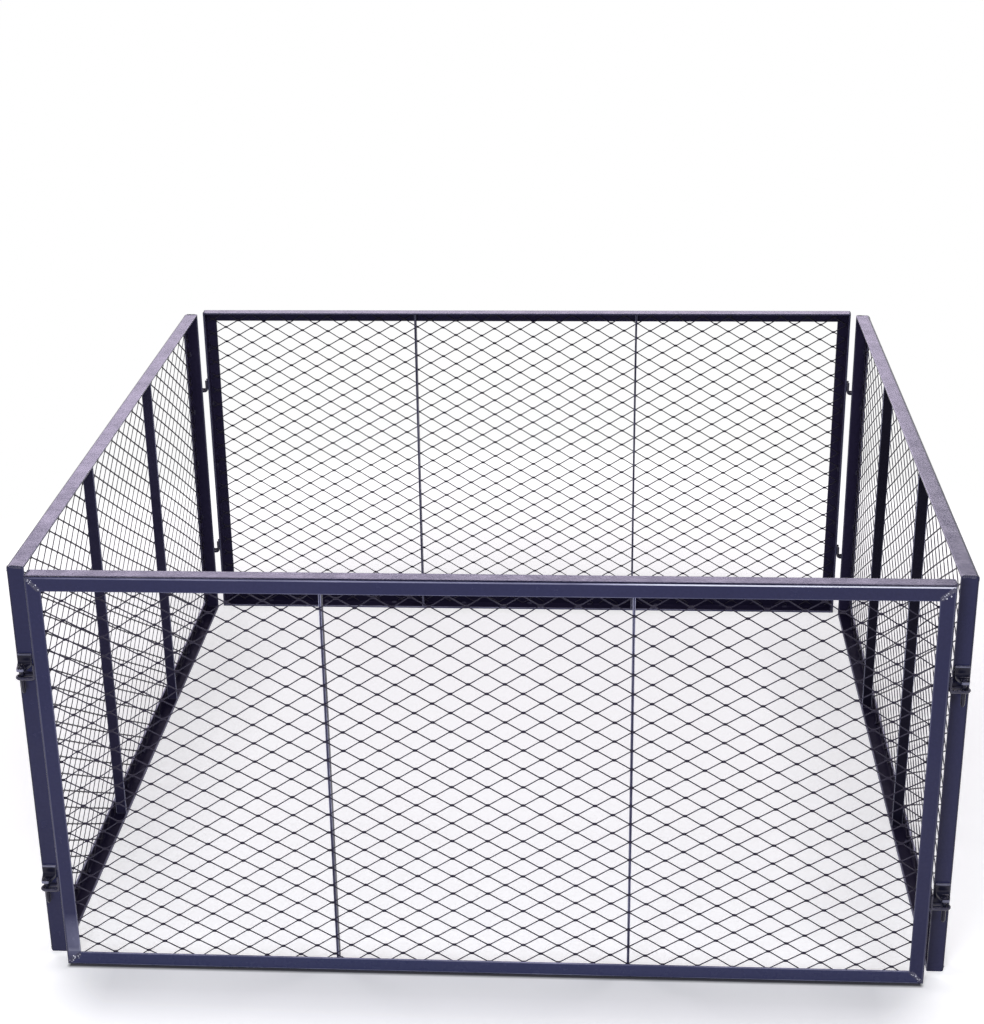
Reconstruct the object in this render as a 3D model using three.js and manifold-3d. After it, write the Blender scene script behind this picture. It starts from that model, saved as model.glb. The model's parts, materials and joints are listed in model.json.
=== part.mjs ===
// Metal compost bin: four welded panels of angle iron and expanded metal, hooked together as a square.
// Millimetres, +Z up. The origin is on the ground in the middle of the bin, and the front faces -Y.
//
// A panel is drawn in its own frame: x along its length, y from its outer face into the bin, z up.
// The front and back panels carry wire eyes on their ends. The side panels carry the hooks, each a bent
// plate with a pin that hangs down through an eye, so a side panel lifts off and every corner can turn.

import * as THREE from "three";
import { mergeVertices } from "three/addons/utils/BufferGeometryUtils.js";
import Module from "manifold-3d";

const wasm = await Module();
wasm.setup();

const quarterTurn = Math.PI / 2;
const halfTurn = Math.PI;

// Driving dimensions
const panelLength = 1000;
const panelHeight = 500;
const cornerGap = 7; // from a panel's end to the panel that crosses in front of it
const seatGap = 0.3; // between pieces that are welded together or rest on each other

// Angle iron of the frames
const faceLeg = 17.5; // lies in the panel's outer face
const deepLeg = 20; // runs round the edge and points into the bin
const legWall = 2.5;
const heelRadius = 3;
const rootRadius = 1.5;
const toeRadius = 1;
const roundSteps = 2; // flats on each rounded corner

// Flat bars that stiffen each panel behind its mesh
const barThickness = 3;
const barDepth = 14;
const barEdgeRadius = 0.5;

// Expanded metal, drawn with fewer and larger diamonds than the real sheet
const longPitch = 110;
const shortPitch = 61.5;
const sheetThickness = 2;
const strandWidth = 4.4;

// Wire eyes
const lowerEyeHeight = 97;
const upperEyeHeight = 372;
const eyeRod = 4;
const eyeOpening = 6; // between the two legs of an eye
const eyeReach = 7.5; // from the pin's axis to the closed end
const eyeTail = 18; // upturned ends, welded to the panel's end
const eyeBendRadius = 4;
const eyeRodSides = 8;
const eyeSteps = 22;

// Hook pins
const pinInset = 9; // from the hooked panel's outer face to the pin's axis
const pinDiameter = 5;
const pinTail = 20; // below the eye
const pinPoint = 3;
const pinPointDiameter = 3;
const pinHeadDiameter = 7.5;
const pinHeadHeight = 2.5;
const pinHeadRim = 1;
const pinSides = 12;

// Hook plates: a flange against the post, and a shelf that bends out of its foot and narrows
const plateWidth = 16;
const plateInset = 2; // from the panel's outer face to the plate's near edge
const plateThickness = 3;
const plateTop = 23; // above the eye
const plateBendRadius = 5; // inside the bend
const plateBendSteps = 4;
const shelfTop = 11; // above the eye
const shelfReach = 4.5; // from the pin's axis to the shelf's front
const shelfFrontWidth = 10;

// Derived sizes
const cornerSize = deepLeg + cornerGap; // side of the square in which two panels meet
const hookReach = cornerSize / 2; // from a hooked panel's end to the pin's axis
const eyeLength = cornerSize - pinInset; // from the other panel's end to the pin's axis
const binReach = panelLength / 2 + cornerSize; // from the middle of the bin to an outer face
const sheetLength = panelLength - 2 * (legWall + rootRadius);
const sheetHeight = panelHeight - 2 * (legWall + rootRadius);
const sheetBack = legWall + seatGap + sheetThickness;

const panels = [
  { name: "front", turn: 0, ends: ["left", "right"], barShares: [0.322, 0.661], hooked: false },
  { name: "right", turn: 1, ends: ["front", "back"], barShares: [0.326, 0.667], hooked: true },
  { name: "back", turn: 2, ends: ["right", "left"], barShares: [0.326, 0.668], hooked: false },
  { name: "left", turn: 3, ends: ["back", "front"], barShares: [0.338, 0.677], hooked: true },
];

const levels = [
  { name: "lower", height: lowerEyeHeight },
  { name: "upper", height: upperEyeHeight },
];

const finishes = {
  frame: { color: 0x474a66, roughness: 0.4, metalness: 0.5 },
  bar: { color: 0x3c3c55, roughness: 0.5, metalness: 0.5 },
  mesh: { color: 0x35374f, roughness: 0.5, metalness: 0.5 },
  hardware: { color: 0x50526c, roughness: 0.35, metalness: 0.6 },
};

function piece(name, geometry, finish) {
  const material = new THREE.MeshStandardMaterial({ ...finishes[finish], flatShading: true });
  const mesh = new THREE.Mesh(geometry, material);
  mesh.name = name;
  return mesh;
}

// A shape splits each of its arcs into twice its number of curve segments
function extrudeOptions(depth, arcSteps) {
  return { depth, bevelEnabled: false, curveSegments: arcSteps / 2 };
}

// A closed geometry as a solid, for cutting
function toSolid(geometry) {
  const bare = geometry.clone();
  bare.deleteAttribute("normal");
  bare.deleteAttribute("uv");
  const merged = mergeVertices(bare);
  const vertProperties = new Float32Array(merged.attributes.position.array);
  const triVerts = new Uint32Array(merged.index.array);
  return new wasm.Manifold(new wasm.Mesh({ numProp: 3, vertProperties, triVerts }));
}

function toGeometry(solid) {
  const { vertProperties, triVerts } = solid.getMesh();
  const geometry = new THREE.BufferGeometry();
  geometry.setAttribute("position", new THREE.BufferAttribute(vertProperties, 3));
  geometry.setIndex(new THREE.BufferAttribute(triVerts, 1));
  return geometry;
}

// A quarter or half circle in space, from one arm of its circle towards the other
class Arc extends THREE.Curve {
  constructor(centre, from, towards, angle) {
    super();
    this.centre = centre;
    this.from = from;
    this.towards = towards;
    this.angle = angle;
  }

  getPoint(share, target = new THREE.Vector3()) {
    const angle = share * this.angle;
    target.copy(this.centre);
    target.addScaledVector(this.from, Math.cos(angle));
    return target.addScaledVector(this.towards, Math.sin(angle));
  }
}

// L section: x from the panel's edge along the face leg, y along the deep leg
function angleSection() {
  const section = new THREE.Shape();
  section.moveTo(heelRadius, 0);
  section.lineTo(faceLeg, 0);
  section.absarc(faceLeg - toeRadius, legWall - toeRadius, toeRadius, 0, quarterTurn, false);
  const root = legWall + rootRadius;
  section.absarc(root, root, rootRadius, -quarterTurn, -halfTurn, true);
  section.absarc(legWall - toeRadius, deepLeg - toeRadius, toeRadius, 0, quarterTurn, false);
  section.lineTo(0, deepLeg);
  section.absarc(heelRadius, heelRadius, heelRadius, halfTurn, halfTurn + quarterTurn, false);
  return section;
}

// One side of a panel's frame, mitred at 45 degrees so that each point stops short by its distance
// from the panel's edge
function frameMember(length) {
  const geometry = new THREE.ExtrudeGeometry(angleSection(), extrudeOptions(length, roundSteps));
  geometry.translate(0, 0, -length / 2);
  const setback = seatGap / Math.SQRT2;
  const position = geometry.attributes.position;
  for (let i = 0; i < position.count; i += 1) {
    const z = position.getZ(i);
    position.setZ(i, z - Math.sign(z) * (position.getX(i) + setback));
  }
  return geometry;
}

function addFrame(panel, spec) {
  const [leftEnd, rightEnd] = spec.ends;
  const members = [
    { name: `${leftEnd}_post`, length: panelHeight, x: -panelLength / 2, z: panelHeight / 2 },
    { name: "top_rail", length: panelLength, x: 0, z: panelHeight },
    { name: `${rightEnd}_post`, length: panelHeight, x: panelLength / 2, z: panelHeight / 2 },
    { name: "bottom_rail", length: panelLength, x: 0, z: 0 },
  ];
  members.forEach((member, quarter) => {
    const mesh = piece(`${spec.name}_${member.name}`, frameMember(member.length), "frame");
    mesh.position.set(member.x, 0, member.z);
    mesh.rotation.y = quarter * quarterTurn;
    panel.add(mesh);
  });
}

function barSection() {
  const x = barThickness / 2;
  const y = barDepth / 2;
  const r = barEdgeRadius;
  const section = new THREE.Shape();
  section.absarc(x - r, y - r, r, 0, quarterTurn, false);
  section.absarc(r - x, y - r, r, quarterTurn, halfTurn, false);
  section.absarc(r - x, r - y, r, halfTurn, halfTurn + quarterTurn, false);
  section.absarc(x - r, r - y, r, halfTurn + quarterTurn, 2 * halfTurn, false);
  return section;
}

// The bars stand on the bottom rail's deep leg and end under the top rail's
function addBars(panel, spec) {
  const foot = legWall + seatGap;
  const options = extrudeOptions(panelHeight - 2 * foot, roundSteps);
  spec.barShares.forEach((share, index) => {
    const geometry = new THREE.ExtrudeGeometry(barSection(), options);
    const mesh = piece(`${spec.name}_bar_${index + 1}`, geometry, "bar");
    mesh.position.set((share - 0.5) * panelLength, sheetBack + seatGap + barDepth / 2, foot);
    panel.add(mesh);
  });
}

// Expanded metal as one body. Its knots lie on a grid of half pitches, where column plus row is even,
// and strands join them along the diagonals. A strand has a flat back and a ridge along its front.
// Round each knot the back has four feet, each at the corner of one diamond opening. A knot on the
// edge of the sheet is cut off flat there, and its missing feet fall together behind the knot.
function expandedMetal() {
  const columns = 2 * Math.round(sheetLength / longPitch);
  const rows = 2 * Math.round(sheetHeight / shortPitch);
  const stepX = sheetLength / columns;
  const stepZ = sheetHeight / rows;
  const slope = Math.atan2(stepZ, stepX);
  const footX = strandWidth / (2 * Math.sin(slope));
  const footZ = strandWidth / (2 * Math.cos(slope));
  const ways = [[1, 0], [0, 1], [-1, 0], [0, -1]];
  const points = [];
  const faces = [];
  const numbers = new Map();

  const isOnSheet = (i, j) => i >= 0 && i <= columns && j >= 0 && j <= rows;

  function vertex(key, x, y, z) {
    if (!numbers.has(key)) {
      numbers.set(key, points.length / 3);
      points.push(x - sheetLength / 2, y, z - sheetHeight / 2);
    }
    return numbers.get(key);
  }

  function ridge(i, j) {
    return vertex(`ridge ${i} ${j}`, i * stepX, 0, j * stepZ);
  }

  function foot(i, j, way) {
    const [di, dj] = ways[way % ways.length];
    if (!isOnSheet(i + di, j + dj)) {
      return vertex(`foot ${i} ${j}`, i * stepX, sheetThickness, j * stepZ);
    }
    const x = i * stepX + di * footX;
    const z = j * stepZ + dj * footZ;
    return vertex(`foot ${i} ${j} ${di} ${dj}`, x, sheetThickness, z);
  }

  function addFace(...corners) {
    const [first, ...rest] = corners.filter((corner, index) => corners.indexOf(corner) === index);
    for (let k = 0; k + 1 < rest.length; k += 1) {
      faces.push(first, rest[k], rest[k + 1]);
    }
  }

  // Each strand is made once, from its lower knot
  function addSide(i, j, way) {
    const [di, dj] = ways[way];
    const [ei, ej] = ways[(way + 1) % ways.length];
    const farI = i + di + ei;
    const farJ = j + dj + ej;
    const near = [foot(i, j, way), foot(i, j, way + 1)];
    if (!isOnSheet(farI, farJ)) {
      addFace(ridge(i, j), near[0], near[1]);
    } else if (farJ > j) {
      const far = [foot(farI, farJ, way + 3), foot(farI, farJ, way + 2)];
      addFace(ridge(i, j), near[0], far[0], ridge(farI, farJ));
      addFace(ridge(i, j), ridge(farI, farJ), far[1], near[1]);
      addFace(near[0], near[1], far[1], far[0]);
    }
  }

  for (let j = 0; j <= rows; j += 1) {
    for (let i = j % 2; i <= columns; i += 2) {
      addFace(foot(i, j, 3), foot(i, j, 2), foot(i, j, 1), foot(i, j, 0));
      ways.forEach((_, way) => addSide(i, j, way));
    }
  }

  const geometry = new THREE.BufferGeometry();
  geometry.setAttribute("position", new THREE.Float32BufferAttribute(points, 3));
  geometry.setIndex(faces);
  return geometry;
}

function addMesh(panel, spec) {
  const mesh = piece(`${spec.name}_mesh`, expandedMetal(), "mesh");
  mesh.position.set(0, legWall + seatGap, panelHeight / 2);
  panel.add(mesh);
}

// The rod of an eye, drawn round the pin's axis with its closed end towards +x: down one tail,
// out along a leg, round the closed end, back along the other leg and up the other tail
function eyeGeometry() {
  const legY = (eyeOpening + eyeRod) / 2;
  const tailX = seatGap + eyeRod / 2 - eyeLength;
  const legX = tailX + eyeBendRadius;
  const closedX = eyeReach - eyeRod / 2 - legY;
  const path = new THREE.CurvePath();
  const alongX = new THREE.Vector3(eyeBendRadius, 0, 0);
  const alongZ = new THREE.Vector3(0, 0, eyeBendRadius);
  const point = (x, y, z) => new THREE.Vector3(x, y, z);
  const bendAt = (y) => point(legX, y, eyeBendRadius);

  path.add(new THREE.LineCurve3(point(tailX, -legY, eyeTail), point(tailX, -legY, eyeBendRadius)));
  path.add(new Arc(bendAt(-legY), alongX.clone().negate(), alongZ.clone().negate(), quarterTurn));
  path.add(new THREE.LineCurve3(point(legX, -legY, 0), point(closedX, -legY, 0)));
  path.add(new Arc(point(closedX, 0, 0), point(0, -legY, 0), point(legY, 0, 0), halfTurn));
  path.add(new THREE.LineCurve3(point(closedX, legY, 0), point(legX, legY, 0)));
  path.add(new Arc(bendAt(legY), alongZ.clone().negate(), alongX.clone().negate(), quarterTurn));
  path.add(new THREE.LineCurve3(point(tailX, legY, eyeBendRadius), point(tailX, legY, eyeTail)));

  const section = new THREE.Shape();
  section.absarc(0, 0, eyeRod / 2, 0, 2 * halfTurn, false);
  return new THREE.ExtrudeGeometry(section, {
    steps: eyeSteps,
    curveSegments: eyeRodSides / 2,
    extrudePath: path,
  });
}

// The pin hangs in a hole of the shelf by its domed head
function pinGeometry() {
  const radius = pinDiameter / 2;
  const headRadius = pinHeadDiameter / 2;
  const headSeat = shelfTop + seatGap;
  const profile = [
    new THREE.Vector2(0, -pinTail),
    new THREE.Vector2(pinPointDiameter / 2, -pinTail),
    new THREE.Vector2(radius, pinPoint - pinTail),
    new THREE.Vector2(radius, headSeat),
    new THREE.Vector2(headRadius, headSeat),
    new THREE.Vector2(headRadius, headSeat + pinHeadRim),
    new THREE.Vector2(radius, headSeat + pinHeadHeight),
    new THREE.Vector2(0, headSeat + pinHeadHeight),
  ];
  const geometry = new THREE.LatheGeometry(profile, pinSides);
  geometry.rotateX(quarterTurn);
  return geometry;
}

// The plate's side view: x away from the panel, from the pin's axis, and y up from the eye
function plateSection(hand) {
  const back = seatGap - hookReach;
  const face = back + plateThickness;
  const shelfFoot = shelfTop - plateThickness;
  const bendX = face + plateBendRadius;
  const bendY = shelfTop + plateBendRadius;
  const turned = (angle) => (hand > 0 ? angle : halfTurn - angle);
  const section = new THREE.Shape();
  const bend = (radius, from, to) => {
    const isClockwise = (to < from) === (hand > 0);
    section.absarc(hand * bendX, bendY, radius, turned(from), turned(to), isClockwise);
  };
  section.moveTo(hand * back, plateTop);
  bend(plateBendRadius + plateThickness, halfTurn, halfTurn + quarterTurn);
  section.lineTo(hand * shelfReach, shelfFoot);
  section.lineTo(hand * shelfReach, shelfTop);
  bend(plateBendRadius, halfTurn + quarterTurn, halfTurn);
  section.lineTo(hand * face, plateTop);
  return section;
}

// What the taper takes off the shelf's side towards the other panel, as seen from above
function taperOutline(hand) {
  const start = seatGap + plateThickness - hookReach;
  const near = plateInset - pinInset;
  const far = near + plateWidth;
  const slope = (plateWidth - shelfFrontWidth) / (shelfReach - start);
  const overrun = plateThickness;
  const outline = new THREE.Shape();
  outline.moveTo(hand * start, far);
  outline.lineTo(hand * (shelfReach + overrun), far - slope * (shelfReach + overrun - start));
  outline.lineTo(hand * (shelfReach + overrun), far + overrun);
  outline.lineTo(hand * start, far + overrun);
  return outline;
}

// The cutters overrun the plate by its own thickness
function plateGeometry(hand) {
  const plate = new THREE.ExtrudeGeometry(plateSection(hand), extrudeOptions(plateWidth, plateBendSteps));
  plate.rotateX(quarterTurn);
  plate.translate(0, plateInset + plateWidth - pinInset, 0);
  const radius = pinDiameter / 2 + seatGap;
  const hole = new THREE.CylinderGeometry(radius, radius, 3 * plateThickness, pinSides);
  hole.rotateX(quarterTurn);
  hole.translate(0, 0, shelfTop - plateThickness / 2);
  const taper = new THREE.ExtrudeGeometry(taperOutline(hand), extrudeOptions(plateTop, plateBendSteps));
  return toGeometry(toSolid(plate).subtract(toSolid(hole)).subtract(toSolid(taper)));
}

// Both ends of a panel, each with its side of the panel and its name
function endsOf(spec) {
  return [
    { name: spec.ends[0], hand: -1 },
    { name: spec.ends[1], hand: 1 },
  ];
}

// Distances of a pin's axis from the panel's end and from its outer face
function placeOnPin(mesh, hand, fromEnd, fromFace, height) {
  mesh.position.set(hand * (panelLength / 2 + fromEnd), fromFace, height);
}

function addEyes(panel, spec) {
  for (const end of endsOf(spec)) {
    for (const level of levels) {
      const name = `${spec.name}_${end.name}_${level.name}_eye`;
      const mesh = piece(name, eyeGeometry(), "hardware");
      mesh.rotation.z = end.hand > 0 ? 0 : halfTurn;
      placeOnPin(mesh, end.hand, eyeLength, hookReach, level.height);
      panel.add(mesh);
    }
  }
}

function addHooks(panel, spec) {
  for (const end of endsOf(spec)) {
    for (const level of levels) {
      const name = `${spec.name}_${end.name}_${level.name}`;
      const bracket = piece(`${name}_bracket`, plateGeometry(end.hand), "hardware");
      const pin = piece(`${name}_pin`, pinGeometry(), "hardware");
      placeOnPin(bracket, end.hand, hookReach, pinInset, level.height);
      placeOnPin(pin, end.hand, hookReach, pinInset, level.height);
      panel.add(bracket, pin);
    }
  }
}

function makePanel(spec) {
  const panel = new THREE.Group();
  panel.position.y = -binReach;
  addFrame(panel, spec);
  addBars(panel, spec);
  addMesh(panel, spec);
  if (spec.hooked) {
    addHooks(panel, spec);
  } else {
    addEyes(panel, spec);
  }
  const turned = new THREE.Group();
  turned.rotation.z = spec.turn * quarterTurn;
  turned.add(panel);
  return turned;
}

const compostBin = new THREE.Group();
for (const spec of panels) {
  compostBin.add(makePanel(spec));
}

export default compostBin;
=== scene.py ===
import json
import math

import bmesh
import bpy
import numpy as np
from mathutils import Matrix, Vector


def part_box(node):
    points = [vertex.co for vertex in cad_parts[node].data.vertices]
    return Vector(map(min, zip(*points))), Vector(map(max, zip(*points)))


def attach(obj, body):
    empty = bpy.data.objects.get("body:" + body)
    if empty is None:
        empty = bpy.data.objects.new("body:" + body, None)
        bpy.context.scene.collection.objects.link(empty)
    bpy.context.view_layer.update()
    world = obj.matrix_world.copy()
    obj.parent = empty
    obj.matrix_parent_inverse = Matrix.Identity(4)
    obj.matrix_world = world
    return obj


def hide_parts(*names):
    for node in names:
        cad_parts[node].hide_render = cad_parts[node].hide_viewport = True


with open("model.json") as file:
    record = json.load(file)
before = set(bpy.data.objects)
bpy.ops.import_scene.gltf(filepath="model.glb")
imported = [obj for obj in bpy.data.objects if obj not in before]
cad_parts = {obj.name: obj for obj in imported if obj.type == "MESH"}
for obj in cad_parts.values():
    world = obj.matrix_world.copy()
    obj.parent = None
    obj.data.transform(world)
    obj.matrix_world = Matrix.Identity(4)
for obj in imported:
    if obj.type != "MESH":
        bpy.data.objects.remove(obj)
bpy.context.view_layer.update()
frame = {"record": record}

# A panel is drawn in its own frame: x along its length, y from its outer face into the bin, z up.
# Lengths are in metres.
mm = 0.001
seed = 20
grain_spread = 9

# Sizes read off the frame
post_low, post_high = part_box("front_left_post")
far_post_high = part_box("front_right_post")[1]
eye_low, eye_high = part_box("front_left_lower_eye")
upper_eye_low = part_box("front_left_upper_eye")[0]
panel_length = far_post_high.x - post_low.x
panel_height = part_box("front_top_rail")[1].z
face_leg = post_high.x - post_low.x
deep_leg = post_high.y - post_low.y
bin_reach = -post_low.y
corner_size = bin_reach - panel_length / 2

# Axis of the hook pins: its depth behind the face of their own panel, its reach past the end of that
# panel, and its reach past the end of the panel with the eyes
pin_inset = 9 * mm
hook_reach = corner_size / 2
eye_length = corner_size - pin_inset

# Angle iron
leg_wall = 2.5 * mm
heel_radius = 3 * mm
root_radius = 1.5 * mm
toe_radius = 1 * mm
edge_radius = 0.25 * mm
section_slack = 0.1 * mm
seat_gap = 0.3 * mm
mitre_setback = seat_gap / math.sqrt(2)
mitre_clear = 2 * mm
wave_step = 45 * mm
wave_height = 0.15 * mm
wave_lengths = (0.34, 0.19, 0.11)
wave_share = 0.6

# Marks on edges fade out over the flat beside them. They paint light and shade: they run from a painted dark
# reflection at -1 over plain paint at 0 and thin paint with a painted highlight at 1 to a painted white
# glare at 2.
edge_fade = 1.4 * mm
small_fade = 1.2 * mm
# Where along a member the painted glare on the heel starts, and over what length it grows
bare_from = 0.10
bare_over = 0.10
# How strongly the painted highlights show on the heels and toes of posts, top rails and bottom rails
post_marks = (0.35, 0.35)
top_marks = (0.9, 0.3)
bottom_marks = (0.8, 0.8)

# Flat bars
bar_edge_radius = 0.6 * mm
bar_bow = 0.35 * mm
bar_stations = 12

# Expanded metal
long_pitch = 40.2 * mm
short_pitch = 23.3 * mm
strand_thickness = 0.75 * mm
rising_tilt = math.radians(-28)
falling_tilt = math.radians(-4)
knot_tilt = math.radians(-6)
sheet_depth = 3.8 * mm
sheet_margin = 4 * mm
sheet_clear = 0.4 * mm
sheet_drift = 1.0 * mm
drift_lengths = (0.57, 0.66)
spare_pitches = 3
strand_highlight = 0.03

# Wire eyes
rod = 4 * mm
eye_leg_offset = (eye_high.y - eye_low.y - rod) / 2
lower_eye = eye_low.z + rod / 2
upper_eye = upper_eye_low.z + rod / 2
eye_reach = 7.5 * mm
eye_tail = 18 * mm
eye_bend = 4 * mm
rod_round = 0.35

# Hook pins
pin_radius = 2.5 * mm
pin_tail = 20 * mm
pin_point = 3 * mm
pin_point_radius = 1.5 * mm
pin_head_radius = 3.75 * mm
pin_head_height = 2.5 * mm
pin_head_rim = 1 * mm
pin_soft = 0.3 * mm

# Hook plates
plate_width = 16 * mm
plate_inset = 2 * mm
plate_thickness = 3 * mm
plate_top = 23 * mm
plate_bend = 5 * mm
plate_edge = 0.45 * mm
shelf_top = 11 * mm
shelf_reach = 4.5 * mm
shelf_front_width = 10 * mm
shelf_draw = 2.2 * mm
plate_edge_highlight = 0.12
sawn_end_highlight = 0.8

# Weld beads: their ripples and how these curve, how they swell and sway, how deep they sink in, and the
# width and height of each kind
bead_pitch = 2.2 * mm
bead_step = 0.35 * mm
bead_points = 9
bead_curve = 0.45
bead_swell = 1.7 * mm
bead_swell_share = 0.08
bead_sway = 5.3 * mm
bead_sway_share = 0.12
bead_sink = 0.25 * mm
bead_highlight = 0.1
blunt_end = 0.02
mitre_bead = (6.0 * mm, 0.65 * mm)
inner_corner_bead = (4.4 * mm, 1.9 * mm)
outer_corner_bead = (3.6 * mm, 1.9 * mm)
bar_bead = (3.6 * mm, 1.5 * mm)
sheet_tack = (4.0 * mm, 1.4 * mm)
plate_bead = (3.0 * mm, 1.4 * mm)
eye_bead = (2.6 * mm, 1.0 * mm)

# Tacks along the sheet's long and short edges: how many, where they start, and how far each may be off
tack_half = 4 * mm
long_tacks = 9
long_tack_start = 70 * mm
long_tack_play = 9
short_tacks = 5
short_tack_start = 60 * mm
short_tack_play = 8

# Spatter round each mitre: how many drops, how far they stray, how many are bare metal painted near white as
# a painted glint, and how high they are against their radius
spatter_count = 15
spatter_spread = 1.3
spatter_bare = 0.7
spatter_highlight = 0.4
drop_height = 0.72

# Each panel: its quarter turns from the front, the names of its ends, and whether it has hooks or eyes.
# In millimetres: the bulge of each field of mesh, the shift of its pattern, the rise of its rows as a
# polynomial over half the length, and the width of its strands. Then the painted light and shade on its
# bars, lighter above 1 and darker below, and the painted glare on the top rail's heel and on the first
# post's face just above its foot.
panels = [
    {"name": "front", "turn": 0, "ends": ("left", "right"), "hooked": False,
     "bulge": (0.5, -0.4, 0.5), "shift": 0.5, "drape": (11.3, 10.0, -17.0, -1.0), "strand": 1.45,
     "bar_light_and_shade": 1.0, "bare": (2.2, 1.1)},
    {"name": "right", "turn": 1, "ends": ("front", "back"), "hooked": True,
     "bulge": (3.5, -2.0, 3.0), "shift": -7, "drape": (1.5, -4.0, 0.0, 2.0), "strand": 1.8,
     "bar_light_and_shade": 0.35, "bare": (0, 0)},
    {"name": "back", "turn": 2, "ends": ("right", "left"), "hooked": False,
     "bulge": (0.6, 0.5, -0.5), "shift": 5.5, "drape": (0.5, 8.0, 6.0, 2.0), "strand": 1.65,
     "bar_light_and_shade": 1.0, "bare": (0, 0)},
    {"name": "left", "turn": 3, "ends": ("back", "front"), "hooked": True,
     "bulge": (3.0, -2.2, 3.5), "shift": -3.5, "drape": (-7.0, 1.5, 1.0, 0.0), "strand": 1.9,
     "bar_light_and_shade": 1.35, "bare": (0, 0)},
]
levels = [("lower", lower_eye), ("upper", upper_eye)]
body_of = {
    node: body
    for body, nodes in frame["record"]["behaviour"]["bodies"].items()
    for node in nodes
}


# Materials

def add_node(tree, kind, inputs=None, **settings):
    """Adds a node with its settings. An input is a value, or the socket that feeds it."""
    node = tree.nodes.new(kind)
    for key, value in settings.items():
        setattr(node, key, value)
    for key, value in (inputs or {}).items():
        socket = node.inputs[key]
        if isinstance(value, bpy.types.NodeSocket):
            tree.links.new(value, socket)
        else:
            socket.default_value = value
    return node


def noise(tree, vector, scale, detail=3, roughness=0.55):
    inputs = {"Vector": vector, "Scale": scale, "Detail": detail, "Roughness": roughness}
    return add_node(tree, "ShaderNodeTexNoise", inputs).outputs["Fac"]


def remap(tree, value, low, high, to_low, to_high):
    inputs = {"Value": value, "From Min": low, "From Max": high, "To Min": to_low, "To Max": to_high}
    return add_node(tree, "ShaderNodeMapRange", inputs).outputs["Result"]


def calculate(tree, operation, first, second=0.0):
    return add_node(tree, "ShaderNodeMath", {0: first, 1: second}, operation=operation).outputs[0]


def multiply(tree, first, second):
    return calculate(tree, "MULTIPLY", first, second)


def mix_colour(tree, share, first, second):
    return add_node(tree, "ShaderNodeMix", {0: share, 6: first, 7: second}, data_type="RGBA").outputs[2]


def bump(tree, height, strength, depth, below=None):
    inputs = {"Strength": strength, "Distance": depth, "Height": height}
    if below is not None:
        inputs["Normal"] = below
    return add_node(tree, "ShaderNodeBump", inputs).outputs["Normal"]


def opaque(colour, share=1):
    return [part * share for part in colour] + [1]


def empty_material(name):
    material = bpy.data.materials.new(name)
    material.use_nodes = True
    material.node_tree.nodes.clear()
    return material


# Features per metre of each pattern in the paint
shade_scale = 5
thin_highlight_scale = 7
patch_scale = 45
scuff_scale = 70
dent_scale = 120
mottle_scale = 260
peel_scale = 1100
streak_scale = (9, 420, 420)

# What shows along edges: thin paint with a painted highlight, a painted white glare and a painted dark
# reflection; and how strongly the patterns come out
thin_highlight_colour = (0.42, 0.41, 0.54)
bare_colour = (0.93, 0.92, 0.97)
dark_reflection_colour = (0.004, 0.003, 0.009)
dark_reflection_share = 0.9
mottle_shade = 0.72
mottle_share = 0.35
gloss_spread = 0.08
streak_gloss = 0.06
highlight_tint = (1.0, 0.93, 1.0)


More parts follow.
